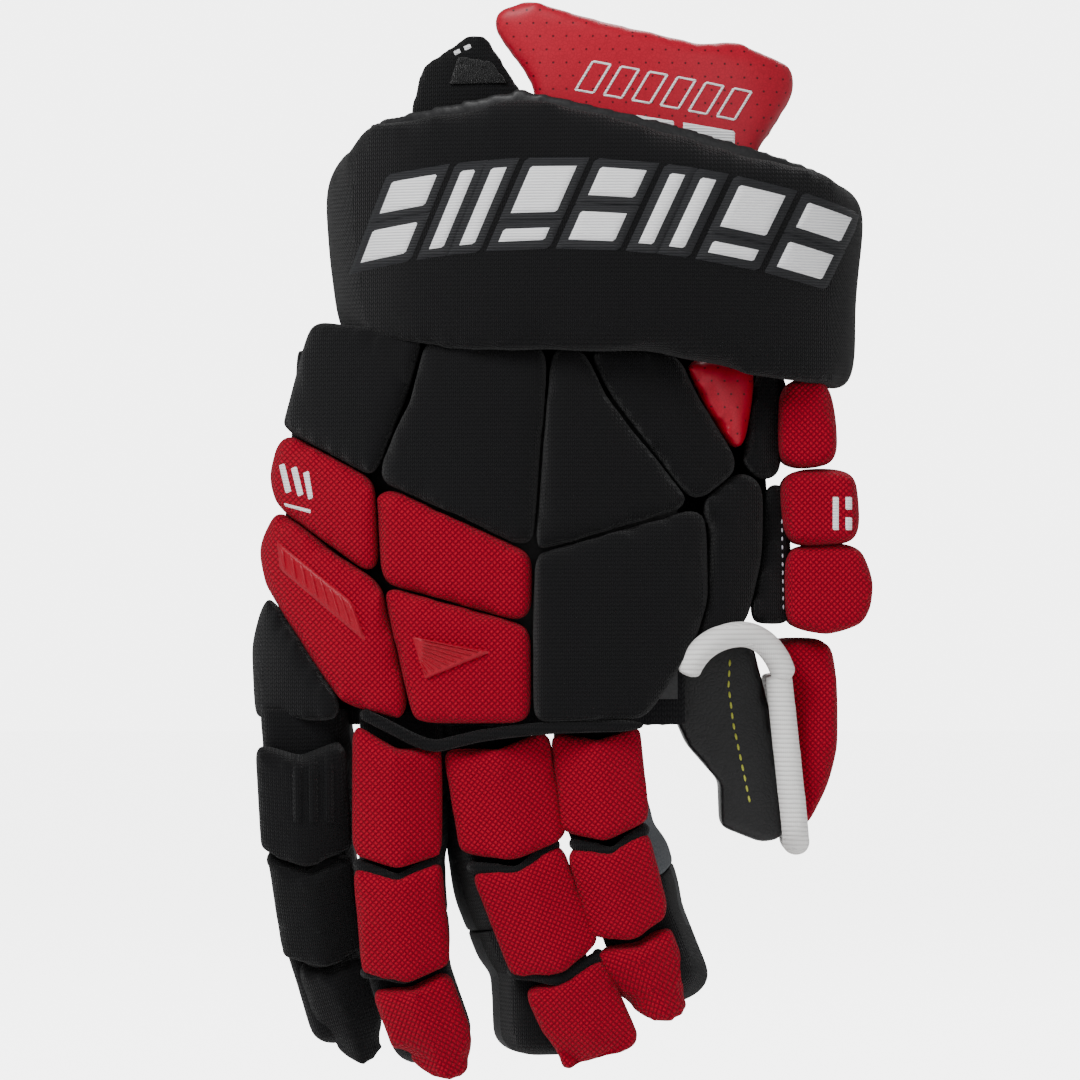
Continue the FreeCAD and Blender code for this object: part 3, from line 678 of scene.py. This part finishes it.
def makeStitches(name, lines, body, finish, surfaces, palmSide=False, long=2.3, pitch=3.3, thick=0.42,
                 sink=0.1):
    bm = bmesh.new()
    outward = 1 if palmSide else -1
    for points in lines:
        for spot, way in spacedSpots(points, pitch):
            ends = []
            for sign in (-0.5, 0.5):
                x, z = spot.x + way.x * long * sign, spot.z + way.z * long * sign
                depth = dropOnto(surfaces, x, z, palmSide)
                ends.append(None if depth is None else Vector((x, depth - outward * sink, z)))
            if None in ends:
                continue
            spot, way = (ends[0] + ends[1]) / 2, (ends[1] - ends[0]).normalized()
            turn = way.to_track_quat("Z", "Y").to_matrix().to_4x4()
            size = Matrix.Diagonal((thick * mm, thick * mm, long * mm / 2, 1))
            place = Matrix.Translation(spot * mm) @ turn @ size
            bmesh.ops.create_uvsphere(bm, u_segments=8, v_segments=6, radius=1.0, matrix=place)
    stitches = finishMesh(bm, name)
    stitches.data.materials.append(materials[finish])
    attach(stitches, body)
    return stitches


# Fingers
fingers = ("index", "middle", "ring", "pinky")
fingerSkin = {      # lean moves the palm side sideways, narrow scales each section's width
    "half": 14.0, "back": -17.5, "palm": 8.8, "ringPoints": 24, "square": 0.5, "wall": 1.4,
    "overlapUp": 7.0, "jointSoft": 9.0, "bendReach": 7, "pinch": 0.05, "pinchWide": 3.0,
    "tipCap": 8, "tipDrop": 4.0, "tipShort": {"index": 3, "middle": 5, "ring": 9, "pinky": 4},
    "lean": {"index": (0, 6, 6), "middle": (-9, -12, -10), "ring": (4, 1, 0), "pinky": (5, 4, 3)},
    "narrow": {"index": (1.0, 0.96, 0.9), "middle": (1.0, 1.0, 0.95), "ring": (1.0, 1.0, 0.95),
               "pinky": (1.0, 0.94, 0.84)},
}
fingerCushion = {
    "voxel": 2.2, "grow": 0.75, "cap": 1.8, "settle": 1, "levels": 2, "dip": 4.2,
    "tipRound": 15.0, "tipNarrow": 0.6, "tipCurl": 5.0, "tipBack": -22, "tipCorner": 3.0,
    "tipSlant": {"index": 5.0, "middle": 9.5, "ring": 12.0, "pinky": 5.0},
    "topEdge": {"index": (-0.5, -0.5), "middle": (-5.5, -2.0), "ring": (0.5, -7.0), "pinky": (0, 0)},
}
jointRoll = {"radius": 2.0, "out": -25.0, "ridge": -27.0, "inset": 1.8, "bendReach": 5}
cushionShape = {      # how much wider than the CAD cushion, and how far each end moves sideways
    "index": ((1.06, 0, -1.0), (1.10, -1.0, -1.6), (1.10, -1.6, -1.0)),
    "middle": ((1.20, 0, 0.6), (1.12, 0.6, 0.6), (1.08, 0.6, 0)),
    "ring": ((1.05, 0, 0), (1.05, 0, 0), (1.04, 0, 0)),
    "pinky": ((1.12, 0.6, 1.4), (1.16, 1.4, 2.0), (1.05, 2.0, 3.0)),
}


def jointNamed(name):
    return next(joint for joint in frame["joints"] if joint["name"] == name)


def fingerLine(finger):
    spots = [Vector(jointNamed(f"{finger}_{part}_hinge")["pos_m"]) for part in ("knuckle", "middle", "end")]
    points = getPoints(frame["nodes"][f"{finger}_3_stall"].data)
    rough = Vector(points.mean(axis=0)) - spots[2]
    depth = (points - np.array(spots[2])) @ np.array(rough.normalized())
    low = points[depth > depth.max() - 0.004]
    spots.append(Vector((low.min(axis=0) + low.max(axis=0)) / 2))
    return spots


def sectionFrame(start, end):
    run = end - start
    tilt = -math.atan2(run.x, -run.z)
    curl = math.atan2(run.y, math.hypot(run.x, run.z))
    return Matrix.Translation(start) @ Matrix.Rotation(tilt, 4, "Y") @ Matrix.Rotation(curl, 4, "X")


def shapeFingerCushion(local, run, half, last, spread, topEdge, slant):
    back = np.array(local)
    ahead = np.array(local.inverted())
    values = fingerCushion

    def reshape(points):
        spots = points @ ahead[:3, :3].T + ahead[:3, 3]
        side = np.clip(np.abs(spots[:, 0]) / half, 0, 1)
        if last:
            fade = np.clip(1 + spots[:, 2] / run, 0, 1)
            near = np.clip(1 - (spots[:, 2] + run) / (values["tipRound"] * mm), 0, 1)
            spots[:, 0] *= np.sqrt(1 - values["tipNarrow"] * near ** 2)
            spots[:, 1] += values["tipCurl"] * mm * near ** 2 * (spots[:, 1] < values["tipBack"] * mm)
            leftSide = 0.5 - np.clip(spots[:, 0] / half, -1, 1) / 2
            spots[:, 2] += (values["tipCorner"] * near * side ** 2 + slant * near * leftSide) * mm
        else:
            fade = 1
        spots[:, 2] += values["dip"] * mm * (side - 0.5) * fade
        down = np.clip(-spots[:, 2] / run, 0, 1)
        share = (np.clip(spots[:, 0] / half, -1, 1) + 1) / 2
        spots[:, 2] += (topEdge[0] * (1 - share) + topEdge[1] * share) * mm * np.clip(1 - 2 * down, 0, 1)
        spots[:, 0] = spots[:, 0] * spread[0] + (spread[1] + (spread[2] - spread[1]) * down) * mm
        return spots @ back[:3, :3].T + back[:3, 3]

    return reshape


def makeFingerCushions(finger, line):
    for i in range(3):
        node = f"{finger}_{i + 1}_pad"
        local = sectionFrame(line[i], line[i + 1])
        turned = getPoints(frame["nodes"][node].data) @ np.array(local.inverted())[:3, :3].T
        half = (turned[:, 0].max() - turned[:, 0].min()) / 2
        run = (line[i + 1] - line[i]).length
        finish = "blackKnit" if finger == "pinky" else None
        values = {key: fingerCushion[key] for key in ("voxel", "grow", "cap", "settle", "levels")}
        topEdge = fingerCushion["topEdge"][finger] if i == 0 else (0, 0)
        reshape = shapeFingerCushion(local, run, half, i == 2, cushionShape[finger][i], topEdge,
                                     fingerCushion["tipSlant"][finger])
        makeCushion(node, f"{finger}Cushion{i + 1}", reshape, local, finish, **values)


def skinRing(place, width, lean, values, scale=1.0):
    ring = []
    middle = (values["back"] + values["palm"]) / 2 + values["tipDrop"] * (1 - scale)
    deep = (values["palm"] - values["back"]) / 2
    for k in range(values["ringPoints"]):
        a = 2 * math.pi * k / values["ringPoints"]
        x = math.copysign(abs(math.cos(a)) ** values["square"], math.cos(a)) * values["half"] * width * scale
        y = math.copysign(abs(math.sin(a)) ** values["square"], math.sin(a)) * deep * scale
        x += lean * (y + deep) / (2 * deep)
        ring.append(place @ Vector((x * mm, (middle + y) * mm, 0)))
    return ring


def makeFingerSkins(finger, line):
    values = fingerSkin
    frames = [sectionFrame(line[i], line[i + 1]) for i in range(3)]
    turns = [item.to_quaternion() for item in frames]
    runs = [(line[i + 1] - line[i]).length / mm for i in range(3)]
    leans = values["lean"][finger]
    narrow = values["narrow"][finger]
    total, starts = sum(runs), [0, runs[0], runs[0] + runs[1]]

    def ringAt(down, scale=1.0):
        i = 0 if down < runs[0] else 1 if down < runs[0] + runs[1] else 2
        place = line[i] + (line[i + 1] - line[i]).normalized() * (down - starts[i]) * mm
        turn, lean, width = turns[i].copy(), leans[i], narrow[i]
        for j in (1, 2):
            off = down - starts[j]
            if abs(off) < values["jointSoft"]:
                share = 0.5 + off / (2 * values["jointSoft"])
                turn = turns[j - 1].slerp(turns[j], share)
                lean = leans[j - 1] * (1 - share) + leans[j] * share
                width = narrow[j - 1] * (1 - share) + narrow[j] * share
        if down < 0:
            place = line[0] + Vector((0, 0, -down * mm))
            turn = turns[0].slerp(Matrix.Identity(3).to_quaternion(), min(1, -down / values["overlapUp"]))
        crease = min(abs(down - start) for start in starts)
        pinch = 1 - values["pinch"] * math.exp(-(crease / values["pinchWide"]) ** 2)
        turned = Matrix.Translation(place) @ turn.to_matrix().to_4x4()
        return skinRing(turned, width * pinch, lean, values, scale)

    breaks = [-values["overlapUp"], runs[0] * 0.5, runs[0] + runs[1] * 0.5, total]
    for i in range(3):
        first, last = breaks[i], breaks[i + 1]
        if i < 2:
            count = 12
            downs = [(first + (last - first) * k / count, 1.0) for k in range(count + 1)]
        else:
            end = last - values["tipShort"][finger]
            cap = values["tipCap"]
            downs = [(first + (end - cap - first) * k / 8, 1.0) for k in range(9)]
            downs += [(end - cap + cap * math.sin(t), math.cos(t) ** 0.7)
                      for t in (0.35, 0.7, 1.0, 1.25, 1.42)]
        bm = loftRings([ringAt(*item) for item in downs], capStart=False, capEnd=i == 2)
        skin = finishMesh(bm, f"{finger}Skin{i + 1}")
        paintSkin(skin, finger, i)
        mapCloth(skin, frames[i])
        shell = skin.modifiers.new("leather", "SOLIDIFY")
        shell.thickness = values["wall"] * mm
        shell.offset = -1
        addSubdivision(skin, 1)
        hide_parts(f"{finger}_{i + 1}_stall")
        bakeModifiers(skin)
        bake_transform(skin)


def paintSkin(skin, finger, section):
    for name in ("blackKnit", "greyLeather", "paleGreyLeather"):
        skin.data.materials.append(materials[name])
    count = fingerSkin["ringPoints"]
    rings = len(skin.data.vertices) // count
    for face in skin.data.polygons:      # the vertices run ring by ring, so a vertex's number gives its angle
        spots = [index % count for index in face.vertices]
        if max(spots) - min(spots) > count / 2:
            spots = [spot + count if spot < count / 2 else spot for spot in spots]
        angle = 2 * math.pi * sum(spots) / len(spots) / count
        down = min(face.vertices) // count / rings
        index = 1 if math.sin(angle) > -0.05 else 0      # knit on the back, leather on the palm side
        if finger == "index" and math.cos(angle) > 0.75:      # pale leather towards the thumb, a dark tip
            if section < 2:
                index = 2
            elif down > 0.3:
                index = 0
        face.material_index = index


def makeJointRolls(finger, line):
    values = jointRoll
    for i in (1, 2):
        frames = [sectionFrame(line[i - 1], line[i]), sectionFrame(line[i], line[i + 1])]
        turn = frames[0].to_quaternion().slerp(frames[1].to_quaternion(), 0.5)
        place = Matrix.Translation(line[i]) @ turn.to_matrix().to_4x4()
        turned = getPoints(frame["nodes"][f"{finger}_{i + 1}_pad"].data) @ np.array(turn.to_matrix())
        half = (turned[:, 0].max() - turned[:, 0].min()) / 2 / mm - values["inset"]
        dip = fingerCushion["dip"]
        shape = [(-1, -15, 0.5), (-1, -22.5, 0.5), (-0.55, values["out"], 0.1), (0, values["ridge"], -0.5),
                 (0.55, values["out"], 0.1), (1, -22.5, 0.5), (1, -15, 0.5)]
        points = [place @ Vector((x * half * mm, y * mm, (z * dip - 0.8) * mm)) / mm for x, y, z in shape]
        up = place.to_3x3() @ Vector((0, 0, 1))
        roll = makeRoll(f"{finger}FlexRoll{i}", points, values["radius"], up=up)
        roll.data.materials.append(materials["blackKnit"])
        bakeModifiers(roll)
        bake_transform(roll)


for finger in fingers:
    line = fingerLine(finger)
    makeFingerCushions(finger, line)
    makeFingerSkins(finger, line)
    makeJointRolls(finger, line)
print("fingers made")

# Lining, palm and sides: thin skins remeshed from the CAD sheets
thinSkins = {      # name, voxel in mm, finish
    "hand_liner": ("handLining", 1.6, "lining"), "wrist_sleeve": ("wristSleeve", 1.3, "lining"),
    "palm_leather": ("palmLeather", 1.2, "greyLeather"),
    "pinky_side_panel": ("littleFingerSide", 2.0, "blackKnit"),
    "thumb_gusset": ("thumbGusset", 2.0, "blackKnit"), "thumb_stall": ("thumbStall", 1.5, "thumbLeather"),
    "cuff_board": ("cuffBoard", 1.6, "hardSheet"),
}


def makeThinSkin(node, name, voxel, finish, rounds=5):
    piece = copyOfNode(node, name)
    remeshPiece(piece, voxel)
    smoothPiece(piece, rounds)
    mapCloth(piece)
    dress(piece, node, finish)
    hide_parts(node)
    return piece


for node, (name, voxel, finish) in thinSkins.items():
    makeThinSkin(node, name, voxel, finish)
print("thin skins made")

# Knuckle trim: a black roll between the back cushions and the fingers
knuckleTrim = {
    "radius": 2.1, "ends": (-56, 32), "sink": 2.2, "sinkLow": 0.5, "noHit": -34,
    "points": [(-57, 4.0), (-52, 1.5), (-46, -1.5), (-39, -5.0), (-33, -6.5),
               (-26, -5.0), (-17, -3.0), (-2, -1.2), (12, -0.4), (33, 0)],      # x and lift
}
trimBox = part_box("knuckle_trim")
trimZ = (trimBox[0][2] + trimBox[1][2]) / 2 / mm
trimSurface = [BVHTree.FromObject(frame["nodes"]["knuckle_trim"], bpy.context.evaluated_depsgraph_get())]
trimPoints = []
for x, lift in knuckleTrim["points"]:
    depth = dropOnto(trimSurface, max(min(x, knuckleTrim["ends"][1]), knuckleTrim["ends"][0]), trimZ)
    depth = knuckleTrim["noHit"] if depth is None else depth
    sink = knuckleTrim["sink"] + knuckleTrim["sinkLow"] * abs(min(lift, 0))
    trimPoints.append((x, depth + sink, trimZ + lift))
trim = makeRoll("knuckleTrim", trimPoints, knuckleTrim["radius"])
dress(trim, "knuckle_trim")
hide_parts("knuckle_trim")

# Cuff, tongue and tab
cuffHem = {"drop": 7.0, "from": 34.0, "middle": 18.0, "narrower": 0.972}


def lowerHem(points):
    share = np.clip((cuffHem["from"] - points[:, 2] / mm) / cuffHem["from"], 0, 1)
    points[:, 2] -= cuffHem["drop"] * mm * share
    points[:, 0] = cuffHem["middle"] * mm + (points[:, 0] - cuffHem["middle"] * mm) * cuffHem["narrower"]
    return points


makeCushion("cuff_roll", "cuffRoll", lowerHem, voxel=3.6, cap=5.0, grow=1.6, pressure=14.0, settle=16)
makeCushion("cuff_tongue", "cuffTongue", voxel=2.2, cap=1.8, grow=0.6, settle=8)
makeCushion("cuff_tab", "cuffTab", voxel=1.8, cap=1.2, grow=0.4, settle=4)
loopPatch = makeThinSkin("tab_loop_patch", "tabLoopPatch", 0.7, "loopPile", 3)
loopPatchRise = 1.3
setPoints(loopPatch.data, getPoints(loopPatch.data) + np.array((0, -loopPatchRise * mm, 0)))

embroidery = {
    "left": -53.0, "pitch": 22.0, "count": 7, "wide": 16.5, "tall": 25.0, "slant": 5.5, "outline": 2.3,
    "curve": ((-50.0, 40.0), (20.0, 44.5), (95.0, 31.5)), "rise": 1.5, "outlineRise": 0.8,
}


def lineHeight(x, spots):      # the parabola through three spots
    (x0, z0), (x1, z1), (x2, z2) = spots
    return (z0 * (x - x1) * (x - x2) / ((x0 - x1) * (x0 - x2))
            + z1 * (x - x0) * (x - x2) / ((x1 - x0) * (x1 - x2))
            + z2 * (x - x0) * (x - x1) / ((x2 - x0) * (x2 - x1)))


def slantedBar(x0, x1, low, high, values, grow=0.0):
    x0, x1, low, high = x0 - grow, x1 + grow, low - grow, high + grow
    corners = []
    for x, level in ((x0, low), (x1, low), (x1, high), (x0, high)):
        shifted = x + values["slant"] * level / values["tall"] * 2
        corners.append((shifted, lineHeight(shifted, values["curve"]) + level))
    return corners


def embroideryBars(values, grow=0.0):
    half, wide = values["tall"] / 2, values["wide"]
    letters = (      # each plain letter is two bars: left, right, low, high
        ((0, wide, 1.6, half), (0, wide, -half, -1.6)),
        ((0, 6.6, -half, half), (9.6, wide, -half, half)),
        ((0, wide, -half * 0.30, half), (0, wide, -half, -half * 0.55)),
    )
    bars = []
    for i in range(values["count"]):
        x = values["left"] + i * values["pitch"]
        for left, right, low, high in letters[i % 3]:
            bars.append(slantedBar(x + left, x + right, low, high, values, grow))
    return bars


cuffSurface = surfacesOf("cuffRoll")
makePatches("embroideryEdge", embroideryBars(embroidery, embroidery["outline"]), cuffSurface,
            embroidery["outlineRise"], "cuff", "darkThread", edge=1.0)
makePatches("embroideryBars", embroideryBars(embroidery), cuffSurface, embroidery["rise"], "cuff",
            "whiteThread", edge=0.9)

tongueMark = {
    "left": 13.5, "pitch": 9.0, "count": 6, "slant": 3.0, "tall": 11.0,
    "curve": ((12.0, 86.5), (40.0, 81.5), (68.0, 76.5)),
}
thinBars = ((0, 1.1, -5.5, 5.5), (5.6, 6.7, -5.5, 5.5), (0, 6.7, 4.5, 5.5), (0, 6.7, -5.5, -4.5))
tongueFrames = []
for i in range(tongueMark["count"]):      # four thin bars frame each plain letter
    x = tongueMark["left"] + i * tongueMark["pitch"]
    for left, right, low, high in thinBars:
        tongueFrames.append(slantedBar(x + left, x + right, low, high, tongueMark))
makePatches("tongueMark", tongueFrames, surfacesOf("cuffTongue"), 0.25, "tongue", "whiteThread",
            edge=0.3, step=0.9)

# Thumb
bindingFit = {"lean": 0.03, "lengthen": 0.075}      # shares of the drop below the binding's top
stallReach = {"top": -96.0, "deep": 50.0, "left": 60.0, "wide": 8.0, "out": 3.0}
makeCushion("thumb_shell_pad", "thumbShell", voxel=2.4, cap=1.8)
thumbBinding = makeThinSkin("thumb_binding", "thumbBinding", 1.1, "whiteRib", 3)
leaning = getPoints(thumbBinding.data)
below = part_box("thumb_binding")[1][2] - leaning[:, 2]
leaning[:, 0] += bindingFit["lean"] * below
leaning[:, 2] += bindingFit["lengthen"] * below
setPoints(thumbBinding.data, leaning)
addSubdivision(thumbBinding, 1)
stall = bpy.data.objects["thumbStall"]      # its binding side reaches out to the binding
reaching = getPoints(stall.data)
deep = np.clip((stallReach["top"] - reaching[:, 2] / mm) / stallReach["deep"], 0, 1)
side = np.clip((reaching[:, 0] / mm - stallReach["left"]) / stallReach["wide"], 0, 1)
reaching[:, 0] += stallReach["out"] * mm * deep * side
setPoints(stall.data, reaching)
webPath = [(46.5, -33, -104), (48.3, -34, -100), (51.5, -33.6, -96), (56, -32, -93), (61.5, -29.5, -91.4),
           (67, -26.5, -91.6), (72, -23, -94.4), (76, -20, -99.5), (78.6, -17.8, -106)]
webBinding = makeRoll("webBinding", webPath, 4.2, sides=14)
webBinding.data.materials.append(materials["whiteRib"])
bakeModifiers(webBinding)
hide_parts("web_binding")
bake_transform(webBinding)

thumbSeam = [(61, 0, -99), (60.5, 0, -108), (62, 0, -120), (65, 0, -134), (67.5, 0, -146)]
makeStitches("thumbStitches", [thumbSeam], "thumb", "limeThread", surfacesOf("thumbStall"))

# Raised marks on the back
emblems = {
    "ribbed": [(-84.5, -61), (-83.5, -70.5), (-54.5, -94.5), (-59.5, -80.5)],
    "triangle": [(-41, -91.5), (-14.5, -96.5), (-36.6, -105.5), (-38.5, -99)],
    "rise": 1.1, "ribs": 8, "margin": 0.03,
}


def ribAcross(shape, low, high, inset=0.12):
    a, b, c, d = [Vector(corner) for corner in shape]
    left0, left1 = a.lerp(d, low), a.lerp(d, high)
    right0, right1 = b.lerp(c, low), b.lerp(c, high)
    return [left0.lerp(right0, inset), left0.lerp(right0, 1 - inset),
            left1.lerp(right1, 1 - inset), left1.lerp(right1, inset)]


backSurface = surfacesOf("backCushionLowerOuter", "backCushionLowerInner")
for name in ("ribbed", "triangle"):
    shape = emblems[name]
    patch = makePatches(f"{name}Emblem", [shape], backSurface, emblems["rise"], "hand", "redRubber")
    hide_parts(f"emblem_{name}")
    count, margin = emblems["ribs"], emblems["margin"]
    ribs = [ribAcross(shape, k / count + margin, (k + 0.55) / count + margin) for k in range(count)]
    makePatches(f"{name}EmblemRibs", ribs, surfacesOf(f"{name}Emblem"), 0.7, "hand", "redRubber",
                edge=0.6, step=1.2)

# Small woven labels: plain bars; each has the piece it lies on, its body and its corners
labels = {
    "backLabel": ("backCushionUpperOuter", "hand", [
        [(-84, -37), (-81.5, -36), (-79, -46), (-81.5, -47)],
        [(-80, -38), (-77.5, -37), (-75, -47), (-77.5, -48)],
        [(-76, -39.5), (-73.5, -38.5), (-72, -48), (-74, -49)],
        [(-82.5, -49), (-72.5, -51.5), (-72.8, -53), (-82, -50.5)]]),
    "thumbLabel": ("thumbWristCushion", "hand", [
        [(93, -47), (95.6, -47), (95.6, -58.5), (93, -58.5)],
        [(97, -47), (100, -47), (100, -52), (97, -52)],
        [(97, -53.5), (100, -53.5), (100, -58.5), (97, -58.5)]]),
    "tabLabel": ("cuffTab", "tab", [
        [(-28, 94.5), (-25.5, 95.8), (-24.8, 94), (-27.3, 92.8)],
        [(-24.8, 96), (-22, 97.2), (-21.4, 95.4), (-24.1, 94.2)]]),
    "tongueBlock": ("cuffTongue", "tongue", [
        [(12.5, 76.5), (27, 74.5), (27, 71.5), (12.5, 73.5)],
        [(29, 74.3), (43, 72.2), (43, 69.2), (29, 71.3)],
        [(45, 72), (62.5, 69.3), (62.5, 62.5), (45, 65.2)]]),
}
for name, (target, body, shapes) in labels.items():
    makePatches(name, shapes, surfacesOf(target), 0.3, body, "whiteThread", edge=0.4, step=0.9)

fingerRibs = {"lefts": (-79, -74, -69), "wide": 3.6, "top": -125, "bottom": -152}
ribShapes = []
for x in fingerRibs["lefts"]:
    right = x + fingerRibs["wide"]
    top, bottom = fingerRibs["top"], fingerRibs["bottom"]
    ribShapes.append([(x, top), (right, top), (right, bottom), (x, bottom)])
makePatches("littleFingerRibs", ribShapes, surfacesOf("pinkyCushion1"), 0.9, "pinky_1", "blackKnit", edge=1.2)
makeStitches("webLettering", [[(77.4, 0, -54), (77.8, 0, -84)]], "hand", "whiteThread",
             surfacesOf("webEdgeCushion"), long=1.5, pitch=2.6, thick=0.35)

# Palm: a second layer where the stick rubs, with its stitching
palmLayer = {"corners": [(-47, -36), (36, -36), (30, -108), (-50, -108)], "seamInward": 0.06}
makePatches("palmLayer", [palmLayer["corners"]], surfacesOf("palmLeather"), 1.2, "hand", "paleGreyLeather",
            step=3.0, palmSide=True)
corners = [Vector(corner) for corner in palmLayer["corners"]]
palmMiddle = Vector((sum(corner.x for corner in corners) / 4, sum(corner.y for corner in corners) / 4))
rim = [corner.lerp(palmMiddle, palmLayer["seamInward"]) for corner in corners]
makeStitches("palmStitches", [[(corner.x, 0, corner.y) for corner in rim + rim[:1]]], "hand", "greyThread",
             surfacesOf("palmLayer"), palmSide=True)

# Hard inserts keep their CAD form
for node in ("back_plate", "thumb_insert"):
    plate = frame["nodes"][node]
    plate.data.materials.clear()
    plate.data.materials.append(materials["hardSheet"])
print("trim made")
